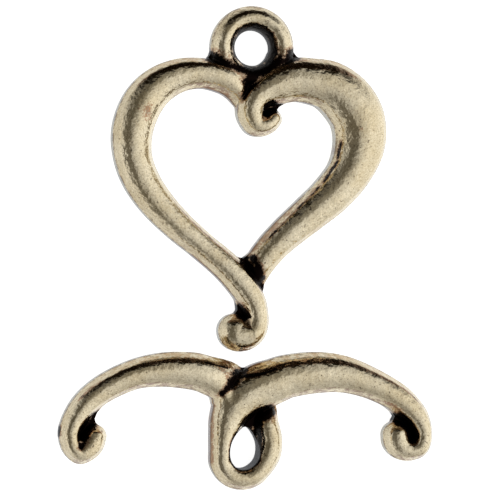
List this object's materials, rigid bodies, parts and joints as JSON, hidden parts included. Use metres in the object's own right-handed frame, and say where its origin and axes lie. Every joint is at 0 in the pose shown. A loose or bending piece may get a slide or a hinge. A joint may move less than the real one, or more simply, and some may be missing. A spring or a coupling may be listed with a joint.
{
  "type": "toggle clasp",
  "caption": "Heart toggle clasp for a cord or chain: an openwork heart with a hanging eye, and a loose scrolled bar with an eye that passes through the heart.",
  "frame": {"origin": "on the surface that both castings lie on, under the middle of their common box", "axes": "+Z from the flat backs to the decorated crowns, +Y from the bar to the heart's hanging eye, +X to the right with the decorated side towards the viewer"},
  "size_m": [0.0224, 0.0284, 0.0027],
  "materials": {
    "antiqued_metal": "pale antique brass, polished on the crowns and dark brown to black in the recesses"
  },
  "bodies": {
    "root": {"heart_ring": "antiqued_metal", "toggle_bar": "antiqued_metal"}
  },
  "joints": []
}
